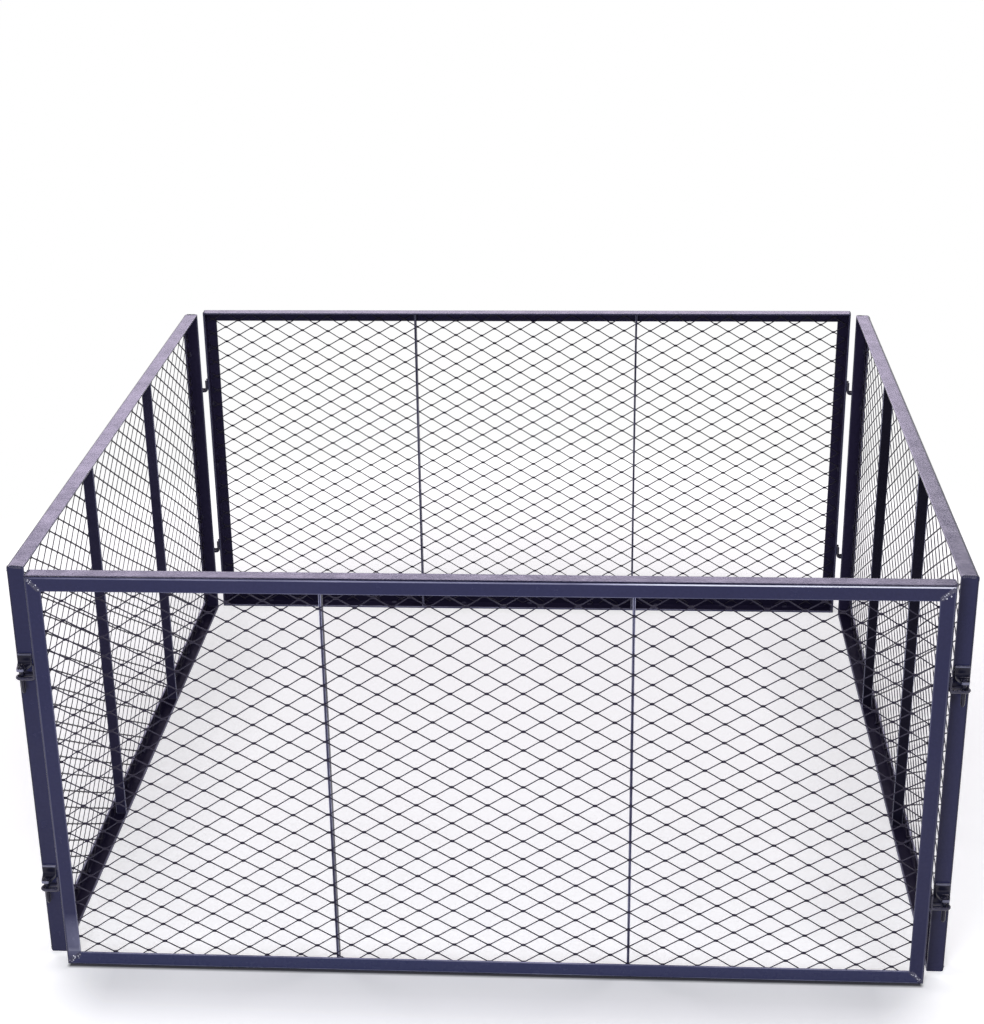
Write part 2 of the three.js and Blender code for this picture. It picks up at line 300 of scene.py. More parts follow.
def paint(name, colour, light_colour, worn_colour, roughness, ior, shade=1, peel=0.25, wear=0.5, metal=0.0):
    """Paint between two colours, over steel. The points' edge marks say where it is scuffed and where it
    takes a painted highlight, a painted white glare and a painted dark reflection.
    """
    # A shade above 1 gives a lighter copy of the paint, painted light, and one below 1 a darker copy,
    # painted shade
    colour = [part * shade for part in colour]
    light_colour = [part * shade for part in light_colour]
    material = empty_material(name)
    tree = material.node_tree
    place = add_node(tree, "ShaderNodeTexCoord").outputs["Object"]
    grain = add_node(tree, "ShaderNodeAttribute", attribute_name="grain").outputs["Vector"]
    edge = add_node(tree, "ShaderNodeAttribute", attribute_name="edge").outputs["Fac"]

    # Broad shade changes and fine mottling
    broad = remap(tree, noise(tree, place, shade_scale, 4), 0.35, 0.65, 0, 1)
    base = mix_colour(tree, broad, opaque(colour), opaque(light_colour))
    mottle = remap(tree, noise(tree, place, mottle_scale, 4), 0.3, 0.7, 0.0, mottle_share)
    base = mix_colour(tree, mottle, base, opaque(colour, mottle_shade))

    # Along the edges the paint is scuffed, and takes painted light and shade: thin paint with a painted
    # highlight, a painted white glare, and a painted dark reflection
    scuffs = remap(tree, noise(tree, place, scuff_scale, 6, 0.7), 0.56, 0.68, 0, 1)
    wear_and_glare = multiply(tree, multiply(tree, edge, scuffs), wear)
    base = mix_colour(tree, wear_and_glare, base, opaque(worn_colour))
    thin_highlight = remap(tree, noise(tree, place, thin_highlight_scale, 5), 0.35, 0.65, 0.25, 0.95)
    base = mix_colour(tree, multiply(tree, edge, thin_highlight), base, opaque(thin_highlight_colour))
    base = mix_colour(tree, remap(tree, edge, 1, 2, 0, 1), base, opaque(bare_colour))
    base = mix_colour(tree, multiply(tree, edge, -dark_reflection_share), base, opaque(dark_reflection_colour))

    # Streaks run along the rolled steel, under an orange-peel skin of paint
    stretch = add_node(tree, "ShaderNodeMapping", {"Vector": grain, "Scale": streak_scale})
    streaks = noise(tree, stretch.outputs["Vector"], 1, 3)
    patch = noise(tree, place, patch_scale, 5, 0.6)
    patchy = remap(tree, patch, 0.3, 0.7, roughness - gloss_spread, roughness + gloss_spread)
    dullness = calculate(tree, "ADD", patchy, multiply(tree, streaks, streak_gloss))
    normal = bump(tree, noise(tree, place, peel_scale, 2), peel, 0.25 * mm)
    normal = bump(tree, noise(tree, place, dent_scale, 3), 0.22, 0.6 * mm, normal)
    normal = bump(tree, streaks, 0.12, 0.2 * mm, normal)

    shader = add_node(tree, "ShaderNodeBsdfPrincipled", {
        "Base Color": base,
        "Roughness": dullness,
        "Normal": normal,
        "Metallic": metal,
        "IOR": ior,
        "Specular Tint": opaque(highlight_tint),
    })
    add_node(tree, "ShaderNodeOutputMaterial", {"Surface": shader.outputs[0]})
    return material


# Each paint's colour, lighter colour, worn colour, roughness and index of refraction
frame_paint = paint(
    "frame_paint_finish", (0.028, 0.029, 0.075), (0.036, 0.036, 0.086), (0.22, 0.20, 0.29), 0.18, 1.27)
# A lighter, bluer copy of the frame paint for the bottom rails' outer faces
lighter_low_rail_paint = paint(
    "lighter_low_rail_paint_finish", (0.040, 0.045, 0.102), (0.051, 0.053, 0.116), (0.24, 0.22, 0.31), 0.24, 1.27)
# Darker copies of the paint for the hollows of the angles, a painted shade, darkest on the bottom rails
hollow_shade_paint = paint(
    "hollow_shade_paint_finish", (0.025, 0.020, 0.050), (0.036, 0.030, 0.068), (0.20, 0.18, 0.26), 0.42, 1.14)
low_hollow_shade_paint = paint(
    "low_hollow_shade_paint_finish", (0.011, 0.009, 0.025), (0.017, 0.014, 0.033), (0.20, 0.18, 0.26), 0.42, 1.12)
# The bars' paint takes each panel's painted light and shade: lighter on the left panel, darker on the right
lit_and_shaded_bar_paints = {
    panel["name"]: paint(
        f"{panel['name']}_lit_and_shaded_bar_paint", (0.024, 0.021, 0.046), (0.033, 0.029, 0.060),
        (0.22, 0.20, 0.28), 0.36, 1.18, shade=panel["bar_light_and_shade"])
    for panel in panels
}
mesh_paint = paint(
    "mesh_paint_finish", (0.019, 0.015, 0.027), (0.028, 0.023, 0.038), (0.20, 0.18, 0.26), 0.38, 1.25)
# A near-black copy of the paint for the hook plates and pins, a painted shade
hardware_paint = paint(
    "hardware_shade_paint_finish", (0.009, 0.009, 0.020), (0.015, 0.015, 0.031), (0.34, 0.32, 0.42), 0.14, 1.34)
rod_paint = paint(
    "rod_paint_finish", (0.030, 0.029, 0.052), (0.046, 0.044, 0.075), (0.30, 0.28, 0.38), 0.16, 1.5)
weld_paint = paint(
    "weld_paint_finish", (0.026, 0.027, 0.060), (0.045, 0.044, 0.085), (0.42, 0.40, 0.50), 0.09, 1.5,
    peel=0.6, wear=0.9)
# Bare weld metal, painted near white as a painted glint
bare_metal = paint(
    "bare_metal_finish", (0.80, 0.79, 0.86), (0.90, 0.89, 0.94), (0.92, 0.91, 0.95), 0.16, 1.5, metal=0.4)


# Shapes in code

class Shape:
    """Closed lofts gathered into one mesh, in a panel's frame."""

    def __init__(self):
        self.points = []
        self.faces = []
        self.edge = []
        self.grain = []
        self.second = []
        self.size = 0

    def add(self, rings, edge=0.0, grain=None, second=None):
        """Joins rings of points into a closed body. Marked sides of the rings take the second material."""
        rings = np.asarray(rings, float)
        count, around = rings.shape[:2]
        index = np.arange(count * around).reshape(count, around) + self.size
        after = np.roll(index, -1, axis=1)
        sides = np.stack([index[:-1], after[:-1], after[1:], index[1:]], axis=-1)
        self.faces.extend(sides.reshape(-1, 4).tolist())
        self.faces.append(index[0][::-1].tolist())
        self.faces.append(index[-1].tolist())
        marks = np.zeros(around, int) if second is None else np.asarray(second, int)
        self.second.extend(np.tile(marks, count - 1).tolist() + [0, 0])
        self.points.append(rings.reshape(-1, 3))
        self.edge.append(np.broadcast_to(edge, (count, around)).reshape(-1))
        self.grain.append(rings.reshape(-1, 3) if grain is None else np.asarray(grain, float).reshape(-1, 3))
        self.size += count * around

    def make(self, name, panel, material, slot, smooth_angle=40, second_material=None):
        """Turns the shape to its panel's side of the bin and makes one piece of it."""
        points = np.concatenate(self.points) + (0, -bin_reach, 0)
        turn = panel["turn"] * math.pi / 2
        turned = np.array([
            [math.cos(turn), -math.sin(turn), 0], [math.sin(turn), math.cos(turn), 0], [0, 0, 1]])
        mesh = bpy.data.meshes.new(name)
        mesh.from_pydata(points @ turned.T, [], self.faces)
        scratch = bmesh.new()
        scratch.from_mesh(mesh)
        bmesh.ops.recalc_face_normals(scratch, faces=scratch.faces)
        scratch.to_mesh(mesh)
        scratch.free()
        edge = mesh.attributes.new("edge", "FLOAT", "POINT")
        edge.data.foreach_set("value", np.concatenate(self.edge).astype(np.float32))
        grain = mesh.attributes.new("grain", "FLOAT_VECTOR", "POINT")
        grain.data.foreach_set("vector", np.concatenate(self.grain).astype(np.float32).reshape(-1))
        mesh.shade_smooth()
        mesh.set_sharp_from_angle(angle=math.radians(smooth_angle))
        mesh.materials.append(material)
        if second_material:
            mesh.materials.append(second_material)
            mesh.polygons.foreach_set("material_index", self.second)
        piece = bpy.data.objects.new(name, mesh)
        bpy.context.scene.collection.objects.link(piece)
        return piece


def arc(centre, radius, start, end, steps):
    """Points round a centre, from one angle in degrees to another."""
    angles = np.radians(np.linspace(start, end, steps + 1))
    return np.stack([centre[0] + radius * np.cos(angles), centre[1] + radius * np.sin(angles)], axis=-1)


def waves(places, rng, height):
    """Gentle unevenness along a piece, never below nothing and at most height."""
    total = np.zeros_like(places)
    for length in wave_lengths:
        total += np.sin(places * 2 * math.pi / length + rng.uniform(0, 2 * math.pi))
    return height * (total / (2 * len(wave_lengths)) + 0.5)


def angle_section():
    """The L section's points, with the marks of its heel's painted dark reflection and highlight and of its
    toes' painted highlights.
    """
    root = leg_wall + root_radius
    # The heel takes a painted dark reflection and then a painted highlight line, the toes and outer corners
    # a painted highlight
    heel_highlight = np.array([0, -0.6, -1, -0.4, 0.7, 0.7, 0])
    toe_highlight = np.array([0.7, 1, 1, 0.4, 0])
    face_flat = np.array([(heel_radius + edge_fade, 0), (face_leg - edge_fade, 0)])
    face_toe = arc((face_leg - toe_radius, leg_wall - toe_radius), toe_radius, 0, 90, 4)
    face_back = np.array([(face_leg - toe_radius - edge_fade, leg_wall), (root + edge_fade, leg_wall)])
    deep_back = np.array([(leg_wall, root + edge_fade), (leg_wall, deep_leg - toe_radius - edge_fade)])
    deep_toe = arc((leg_wall - toe_radius, deep_leg - toe_radius), toe_radius, 0, 90, 4)
    deep_flat = np.array([(0, deep_leg - edge_fade), (0, heel_radius + edge_fade)])
    # Each stretch with its heel marks and its toe marks, both painted light and shade
    parts = [
        (arc((heel_radius, heel_radius), heel_radius, 180, 270, 6), heel_highlight, 0),
        (face_flat, 0, 0),
        (arc((face_leg - edge_radius, edge_radius), edge_radius, 270, 360, 2), 0, 1),
        (face_toe, 0, toe_highlight),
        (face_back, 0, 0),
        (arc((root, root), root_radius, 270, 180, 5), 0, 0),
        (deep_back, 0, 0),
        (deep_toe, 0, toe_highlight),
        (arc((edge_radius, deep_leg - edge_radius), edge_radius, 90, 180, 2), 0, 1),
        (deep_flat, 0, 0),
    ]
    points = np.concatenate([part for part, _, _ in parts])
    heel = np.concatenate([np.broadcast_to(np.asarray(value, float), len(part)) for part, value, _ in parts])
    toes = np.concatenate([np.broadcast_to(np.asarray(value, float), len(part)) for part, _, value in parts])
    return points, heel, toes


def hollow_sides():
    """Marks the sides of the L section that face into its hollow."""
    x, y = ((section_points + np.roll(section_points, -1, axis=0)) / 2).T
    behind_face = (x > leg_wall - section_slack) & (x < face_leg - 2 * section_slack) & (y > leg_wall / 2)
    beside_deep = (y > leg_wall - section_slack) & (y < deep_leg - 2 * section_slack) & (x > leg_wall / 2)
    return behind_face | beside_deep


def along_section(points):
    """Distance round a section up to each of its points."""
    steps = np.linalg.norm(np.diff(points, axis=0), axis=1)
    return np.concatenate([[0], np.cumsum(steps)])


section_points, section_heel, section_toes = angle_section()
section_run = along_section(section_points)
section_hollow = hollow_sides()


def frame_member(length, quarter, centre, marks, rng):
    """One side of the frame, mitred at both ends, with the slight waves of rolled and welded steel."""
    heel_share, toe_share, bare_heel, bare_foot = marks
    reach = length / 2 - face_leg - mitre_setback - mitre_clear
    stations = np.linspace(-reach, reach, max(3, round(2 * reach / wave_step)))
    inward = waves(stations, rng, wave_height)
    deep = waves(stations, rng, wave_height)
    x, y = section_points[:, 0], section_points[:, 1]
    end = length / 2 - x - mitre_setback
    along = [-end] + [np.full_like(x, station) for station in stations] + [end]
    inward = np.concatenate([[0], inward, [0]])
    deep = np.concatenate([[0], deep, [0]])
    z = np.array(along)
    # The heel and the outer corners stay where they are, and the flats ride in and out between them
    share_x = np.clip((x - heel_radius) / face_leg, 0, wave_share)
    share_y = np.clip((y - heel_radius) / deep_leg, 0, wave_share)
    across = x[None, :] + inward[:, None] * share_y[None, :]
    depth = y[None, :] + deep[:, None] * share_x[None, :]
    turn = quarter * math.pi / 2
    rings = np.stack([
        centre[0] + across * math.cos(turn) + z * math.sin(turn),
        depth,
        centre[1] - across * math.sin(turn) + z * math.cos(turn),
    ], axis=-1)
    offset = rng.uniform(0, grain_spread)
    grain = np.stack([
        z + offset, np.broadcast_to(section_run, z.shape), np.full_like(z, offset)], axis=-1)
    # Beyond the middle the heel's painted highlight grows into a painted white glare, and the face just
    # above the foot takes a painted glare
    wear_and_glare = np.where(section_heel > 0, 1 + bare_heel * np.clip((z - bare_from) / bare_over, 0, 1), 1)
    edge = section_heel * heel_share * wear_and_glare + section_toes * toe_share
    edge[1] += np.where(section_points[:, 1] < section_slack, bare_foot, 0)
    return rings, edge, grain


def local_box(node, panel):
    """A CAD node's lowest and highest corner in its panel's frame."""
    low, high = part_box(node)
    turn = -panel["turn"] * math.pi / 2
    corners = []
    for point in (low, high):
        x = point.x * math.cos(turn) - point.y * math.sin(turn)
        y = point.x * math.sin(turn) + point.y * math.cos(turn)
        corners.append((x, y + bin_reach, point.z))
    corners = np.array(corners)
    return corners.min(0), corners.max(0)


def rounded_rectangle(width, height, radius, steps=3):
    """Points round a rectangle with its corners rounded, and how much each lies on a corner."""
    a, b = width / 2 - radius, height / 2 - radius
    clear = min(small_fade, b / 2, a / 2)
    points = []
    edge = []
    corners = [(a, b, 0), (-a, b, 90), (-a, -b, 180), (a, -b, 270)]
    for number, (x, y, start) in enumerate(corners):
        bend = arc((x, y), radius, start, start + 90, steps)
        points.extend(bend)
        edge.extend([1] * len(bend))
        next_x, next_y, next_start = corners[(number + 1) % 4]
        angle = math.radians(next_start)
        target = np.array([next_x + radius * math.cos(angle), next_y + radius * math.sin(angle)])
        way = (target - bend[-1]) / np.linalg.norm(target - bend[-1])
        points.extend([bend[-1] + way * clear, target - way * clear])
        edge.extend([0, 0])
    return np.array(points), np.array(edge, float)


def flat_bar(node, panel, rng):
    """A flat bar on edge, as tall and as wide as its node, with a slight bow."""
    low, high = local_box(node, panel)
    section, edge = rounded_rectangle(high[0] - low[0], high[1] - low[1], bar_edge_radius)
    heights = np.linspace(low[2], high[2], bar_stations)
    share = (heights - low[2]) / (high[2] - low[2])
    bow = bar_bow * np.sin(math.pi * share) * rng.choice([-1, 1]) * rng.uniform(0.4, 1)
    centre = (low + high) / 2
    x = centre[0] + section[None, :, 0] + bow[:, None]
    y = centre[1] + np.broadcast_to(section[None, :, 1], x.shape)
    z = np.broadcast_to(heights[:, None], x.shape)
    run = np.broadcast_to(along_section(section)[None, :], x.shape)
    offset = rng.uniform(0, grain_spread)
    grain = np.stack([z + offset, run, y], -1)
    # Its rounded corners take a full painted highlight
    return np.stack([x, y, z], -1), np.broadcast_to(edge, x.shape), grain


# The sheet is a stack of zigzag strips. Each one meets the strips above and below it side by side at the
# knots, where it stands nearly upright, and twists over between them. Shares run from knot to knot.
strand_shares = np.array([0, 0.10, 0.26, 0.5, 0.74, 0.90, 1])
strand_rise = np.array([0, 0, 0.2, 0.5, 0.8, 1, 1])
strand_twist = np.array([0, 0, 1, 1, 1, 0, 0])


def expanded_metal(panel, shape, rng):
    """Adds the strips of one sheet row by row, each cut off at the sheet's edges."""
    half = long_pitch / 2
    row_height = short_pitch / 2
    reach_x = panel_length / 2 - sheet_margin
    reach_z = panel_height / 2 - sheet_margin
    rows = int(2 * reach_z / row_height)
    strand_width = panel["strand"] * mm
    lean = strand_width * math.sin(knot_tilt)
    half_width = strand_width * math.cos(knot_tilt) / 2
    # The sheet is held at its ends and at the bars, and bulges between them
    bars = [local_box(f"{panel['name']}_bar_{number}", panel)[0][0] for number in (1, 2)]
    held = [-reach_x, *sorted(bars), reach_x]
    knots = int(reach_x / half) + spare_pitches
    wander = rng.uniform(0, 2 * math.pi, 2)
    for row in range(-spare_pitches, rows + spare_pitches + 1):
        # Points along the strip, in steps from knot to knot
        offset = half * (row % 2) + panel["shift"] * mm
        places = np.arange(-knots, knots)[:, None] + strand_shares[None, :-1]
        places = (offset + places * half).reshape(-1)
        places = places[(places > -reach_x + sheet_clear) & (places < reach_x - sheet_clear)]
        places = np.concatenate([[-reach_x], places, [reach_x]])
        phase = (places - offset) / half
        step = np.floor(phase).astype(int)
        share = np.interp(phase - step, strand_shares, strand_rise)
        share = np.where(step % 2 == 0, share, 1 - share)
        twist = np.interp(phase - step, strand_shares, strand_twist)
        strand_tilt = np.where(step % 2 == 0, rising_tilt, falling_tilt)
        tilt = knot_tilt + (strand_tilt - knot_tilt) * twist

        # The strip's middle line, with the sheet's drape, bulges and drift
        drape = np.polynomial.polynomial.polyval(2 * places / panel_length, panel["drape"]) * mm
        low = sheet_margin + row * row_height + drape
        z = low + half_width + share * (row_height - 2 * half_width)
        y = sheet_depth + (share - 0.5) * lean
        for number, bulge in enumerate(panel["bulge"]):
            span = (places - held[number]) / (held[number + 1] - held[number])
            inside = (span > 0) & (span < 1)
            swell = np.sin(math.pi * np.clip(span, 0, 1)) * np.sin(math.pi * z / panel_height)
            y = y + np.where(inside, bulge * mm * swell, 0)
        calm_x = 1 - (places / reach_x) ** 2
        calm_z = 1 - ((z - panel_height / 2) / reach_z) ** 2
        drift_x = sheet_drift * calm_x * np.sin(2 * math.pi * z / drift_lengths[0] + wander[0])
        drift_z = sheet_drift * calm_z * np.sin(2 * math.pi * places / drift_lengths[1] + wander[1])

        # Its section, tilted at each point, and the stretches that lie inside the frame
        across = strand_width / 2 * np.stack([-np.sin(tilt), np.cos(tilt)], -1)
        through = strand_thickness / 2 * np.stack([np.cos(tilt), np.sin(tilt)], -1)
        corners = np.stack([across + through, across - through, -across - through, -across + through], 1)
        rings = np.zeros((len(places), 4, 3))
        rings[:, :, 0] = (places + drift_x)[:, None]
        rings[:, :, 1] = y[:, None] + corners[:, :, 0]
        rings[:, :, 2] = (z + drift_z)[:, None] + corners[:, :, 1]
        # The strands take a faint painted highlight, twice as strong where they twist
        edge = (strand_highlight + strand_highlight * twist)[:, None]
        kept = (np.abs(rings[:, :, 2] - panel_height / 2) < reach_z).all(1)
        for run in np.split(np.arange(len(places)), np.flatnonzero(np.diff(kept)) + 1):
            if kept[run[0]] and len(run) > 1:
                shape.add(rings[run], edge[run])


def tube(path, radius, sides=16):
    """Rings of a round rod along a path, with rounded ends."""
    path = np.asarray(path, float)
    tangents = np.gradient(path, axis=0)
    tangents /= np.linalg.norm(tangents, axis=1)[:, None]
    side = np.cross(tangents[0], (0.3, 1, 0.2))
    rings = []
    turn = np.linspace(0, 2 * math.pi, sides, endpoint=False)
    for point, tangent in zip(path, tangents):
        side = side - tangent * side.dot(tangent)
        side /= np.linalg.norm(side)
        up = np.cross(tangent, side)
        ring = point + radius * (np.cos(turn)[:, None] * side + np.sin(turn)[:, None] * up)
        rings.append((ring, point, tangent))
    out = []
    crown = rod_round * radius
    for end, sign in ((0, -1), (-1, 1)):
        ring, point, tangent = rings[end]
        rounded = []
        for share in (0.35, 0.7, 0.92):
            drop = crown * (1 - math.sqrt(1 - share ** 2))
            rounded.append(point + (ring - point) * share + sign * tangent * (crown - drop))
        out.append(rounded)
    return np.array(out[0] + [ring for ring, _, _ in rings] + out[1][::-1])


def line(start, end, step=1.5 * mm):
    """Points at about even steps from start to end."""
    start, end = np.asarray(start, float), np.asarray(end, float)
    count = max(2, int(np.linalg.norm(end - start) / step) + 1)
    return start + (end - start) * np.linspace(0, 1, count)[:, None]


def wire_eye(hand, height):
    """From one welded tail down, out round the pin's axis and back up the other tail."""
    axis = panel_length / 2 + eye_length
    tail_x = seat_gap + rod / 2 - eye_length
    leg_x = tail_x + eye_bend
    closed_x = eye_reach - rod / 2 - eye_leg_offset
    runs = []
    for sign in (-1, 1):
        y = sign * eye_leg_offset
        bend = arc((leg_x, eye_bend), eye_bend, 180, 270, 7)
        down = line((tail_x, y, eye_tail - rod_round * rod / 2), (tail_x, y, eye_bend))[:-1]
        curve = np.stack([bend[:, 0], np.full(len(bend), y), bend[:, 1]], -1)
        out = line((leg_x, y, 0), (closed_x, y, 0))[1:-1]
        runs.append(np.concatenate([down, curve, out]))
    around = arc((closed_x, 0), eye_leg_offset, -90, 90, 12)
    closed = np.stack([around[:, 0], around[:, 1], np.zeros(len(around))], -1)
    path = np.concatenate([runs[0], closed, runs[1][::-1]])
    path = path * (hand, 1, 1) + (hand * axis, hook_reach, height)
    return tube(path, rod / 2)


def lathe(profile, centre, sides=28):
    """Rings round an upright axis, one for each radius and height of the profile."""
    turn = np.linspace(0, 2 * math.pi, sides, endpoint=False)
    rings = []
    for radius, z in profile:
        ring = np.stack([radius * np.cos(turn), radius * np.sin(turn), np.full(sides, z)], -1)
        rings.append(ring + centre)
    return np.array(rings)


def pin_place(hand, height):
    """Where a hook pin's axis crosses the level of its eye."""
    return hand * (panel_length / 2 + hook_reach), pin_inset, height


def hook_pin(hand, height):
    """From the blunt point up the shank to the domed head, which rests on the plate's shelf."""
    seat = shelf_top + seat_gap
    dome = [
        (pin_head_radius * math.cos(a), seat + pin_head_rim + (pin_head_height - pin_head_rim) * math.sin(a))
        for a in np.radians(np.linspace(0, 84, 8))
    ]
    profile = [
        (pin_point_radius * 0.3, -pin_tail),
        (pin_point_radius - pin_soft, -pin_tail),
        (pin_point_radius, pin_soft - pin_tail),
        (pin_radius - 0.1 * mm, pin_point - pin_tail - pin_soft),
        (pin_radius, pin_point - pin_tail + pin_soft),
        (pin_radius, 0),
        (pin_radius, seat),
        (pin_head_radius - pin_soft, seat),
        (pin_head_radius, seat + pin_soft),
        *dome,
        (pin_soft, seat + pin_head_height),
    ]
    return lathe(profile, pin_place(hand, height))


def hook_plate(hand, height):
    """A plate that stands against the post's end, bends out at its foot and narrows towards the pin."""
    middle = plate_bend + plate_thickness / 2
    back = seat_gap - hook_reach + plate_thickness / 2
    bend_x = back + middle
    bend_z = shelf_top + plate_bend
    shelf_z = shelf_top - plate_thickness / 2
    flange = line((back, plate_top), (back, bend_z))[:-1]
    bend = arc((bend_x, bend_z), middle, 180, 270, 12)
    shelf = line((bend_x, shelf_z), (shelf_reach, shelf_z))[1:]
    path = np.concatenate([flange, bend, shelf])
    tangents = np.gradient(path, axis=0)
    tangents /= np.linalg.norm(tangents, axis=1)[:, None]
    face = back + plate_thickness / 2
    along = np.clip((path[:, 0] - face) / (shelf_reach - face), 0, None)
    outer = shelf_draw * along ** 2
    inner = plate_width - (plate_width - shelf_front_width) * along
    rings = []
    for point, tangent, low, high in zip(path, tangents, outer, inner):
        section, edge = rounded_rectangle(high - low, plate_thickness, plate_edge)
        x = point[0] - section[:, 1] * tangent[1]
        z = point[1] + section[:, 1] * tangent[0]
        rings.append(np.stack([x, section[:, 0] + (low + high) / 2, z], -1))
    # Both sawn ends have softened edges
    for end, near in ((0, 1), (-1, -2)):
        ring = rings[end]
        centre = ring.mean(0)
        way = rings[near].mean(0) - centre
        way /= np.linalg.norm(way)
        rings[end] = ring + way * plate_edge
        soft = centre + (ring - centre) * (1 - 2 * plate_edge / np.ptp(ring, axis=0).max())
        rings.insert(0 if end == 0 else len(rings), soft)
    rings = np.array(rings) * (hand, 1, 1)
    rings = rings + (hand * (panel_length / 2 + hook_reach), plate_inset, height)
    # The plate's rounded edges take a faint painted highlight, and its sawn ends a strong one
    marks = np.repeat(edge[None, :] * plate_edge_highlight, len(rings), axis=0)
    marks[[0, 1, -2, -1]] = sawn_end_highlight
    return rings, marks


def bore(piece, panel, hand, height):
    """Cuts the pin's hole through a plate's shelf."""
    cutter = Shape()
    radius = pin_radius + seat_gap
    profile = [(radius, shelf_top - 2 * plate_thickness), (radius, shelf_top + plate_thickness)]
    cutter.add(lathe(profile, pin_place(hand, height)))
    tool = cutter.make(piece.name + "_bore", panel, hardware_paint, "hardware_paint")
    cut = piece.modifiers.new("bore", "BOOLEAN")
    cut.operation = "DIFFERENCE"
    cut.solver = "EXACT"
    cut.object = tool
    bpy.context.view_layer.update()
    result = bpy.data.meshes.new_from_object(piece.evaluated_get(bpy.context.evaluated_depsgraph_get()))
    piece.modifiers.clear()
    piece.data = result
    bpy.data.objects.remove(tool)


def bead(shape, start, end, out, size, rng):
    """A rippled weld bead along a line. Its size is its width and how far it stands out of the surface."""
    start, end, out = (np.asarray(v, float) for v in (start, end, out))
    width, height = size
    length = np.linalg.norm(end - start)
    way = (end - start) / length
    out = out / np.linalg.norm(out)
    side = np.cross(way, out)
    stations = np.linspace(0, length, max(6, int(length / bead_step)))
    across = np.linspace(-1, 1, bead_points)
    wander = rng.uniform(0, 6)
    rings = []
    for s in stations:
        near_end = min(s, length - s) / (width / 2)
        taper = math.sqrt(max(blunt_end, 1 - (1 - min(1, near_end)) ** 2))
        half = width / 2 * taper * (1 + bead_swell_share * math.sin(s / bead_swell + wander))
        ripple = 0.5 + 0.5 * np.cos(2 * math.pi * (s / bead_pitch - bead_curve * across ** 2) + wander)
        lift = height * taper * np.sqrt(np.clip(1 - across ** 2, 0, 1)) * (0.5 + 0.5 * ripple)
        drift = bead_sway_share * width * math.sin(s / bead_sway + wander)
        middle = start + way * s
        rings.append(middle + (across * half + drift)[:, None] * side + (lift - bead_sink)[:, None] * out)
    # The bead takes a faint painted highlight
    shape.add(np.array(rings), edge=bead_highlight)


def droplet(shape, centre, out, radius, bare):
    """A flattened blob of weld metal on a surface, painted over or bare, the bare ones near white as a
    painted glint.
    """
    out = np.asarray(out, float) / np.linalg.norm(out)
    side = np.cross(out, (0.31, 0.52, 0.79))
    side /= np.linalg.norm(side)
    other = np.cross(out, side)
    turn = np.linspace(0, 2 * math.pi, 8, endpoint=False)
    rings = []
    for lift in (-0.4, 0.0, 0.35, 0.6, 0.7):
        spread = math.sqrt(max(blunt_end, 1 - (lift / drop_height) ** 2))
        ring = np.cos(turn)[:, None] * side + np.sin(turn)[:, None] * other
        rings.append(centre + radius * spread * ring + out * lift * radius)
    # The drop takes a painted highlight
    shape.add(np.array(rings), edge=spatter_highlight, second=np.full(len(turn), bare))


def spatter(shape, hand, up, corner_z, rng):
    """Drops of weld metal on the face, near the line of one mitre."""
    half = panel_length / 2
    nearest, furthest = 2 * mm, face_leg - 1.5 * mm
    for _ in range(spatter_count):
        along = rng.uniform(4, face_leg / mm - 2) * mm
        aside = rng.normal(0, spatter_spread) * mm
        x = hand * (half - min(max(along - aside, nearest), furthest))
        z = corner_z - up * min(max(along + aside, nearest), furthest)
        radius = rng.uniform(0.4, 1.1) * mm
        droplet(shape, (x, 0, z), (0, -1, 0), radius, rng.random() < spatter_bare)


def mitre_welds(shape, hollow, rng):
    """A bead along each mitre on the face, one in its hollow, and one over the outer corner at the top."""
    half = panel_length / 2
    for hand in (-1, 1):
        for corner_z, up in ((0, -1), (panel_height, 1)):
            outer = (hand * (half - 2.2 * mm), 0, corner_z - up * 2.2 * mm)
            inner = (hand * (half - face_leg + 0.6 * mm), 0, corner_z - up * (face_leg - 0.6 * mm))
            bead(shape, outer, inner, (0, -1, 0), mitre_bead, rng)
            spatter(shape, hand, up, corner_z, rng)
            x, z = hand * (half - leg_wall), corner_z - up * leg_wall
            start, end = (x, leg_wall + 1 * mm, z), (x, deep_leg - 1.2 * mm, z)
            bead(hollow, start, end, (-hand, 0, -up), inner_corner_bead, rng)
            if up > 0:
                x, z = hand * (half - 1 * mm), corner_z - 1 * mm
                start, end = (x, heel_radius, z), (x, deep_leg - 1 * mm, z)
                bead(shape, start, end, (hand, 0, up), outer_corner_bead, rng)


def bar_welds(hollow, panel, rng):
    """A bead on each side of both ends of the bars."""
    for number in (1, 2):
        low, high = local_box(f"{panel['name']}_bar_{number}", panel)
        for z, up in ((leg_wall, 1), (panel_height - leg_wall, -1)):
            for x, hand in ((low[0], -1), (high[0], 1)):
                start, end = (x, low[1] + 1 * mm, z), (x, high[1] - 0.8 * mm, z)
                bead(hollow, start, end, (hand, 0, up), bar_bead, rng)


def sheet_tacks(hollow, rng):
    """Short beads that hold the sheet's edge in the root of the angles."""
    half = panel_length / 2
    root = leg_wall + root_radius
    y = root + 0.8 * mm
    even = np.linspace(-half + long_tack_start, half - long_tack_start, long_tacks)
    for x in even + rng.uniform(-long_tack_play, long_tack_play, long_tacks) * mm:
        for z, up in ((root, 1), (panel_height - root, -1)):
            bead(hollow, (x - tack_half, y, z), (x + tack_half, y, z), (0, 1, up), sheet_tack, rng)
    even = np.linspace(short_tack_start, panel_height - short_tack_start, short_tacks)
    for z in even + rng.uniform(-short_tack_play, short_tack_play, short_tacks) * mm:
        for hand in (-1, 1):
            x = hand * (half - root)
            bead(hollow, (x, y, z - tack_half), (x, y, z + tack_half), (-hand, 1, 0), sheet_tack, rng)


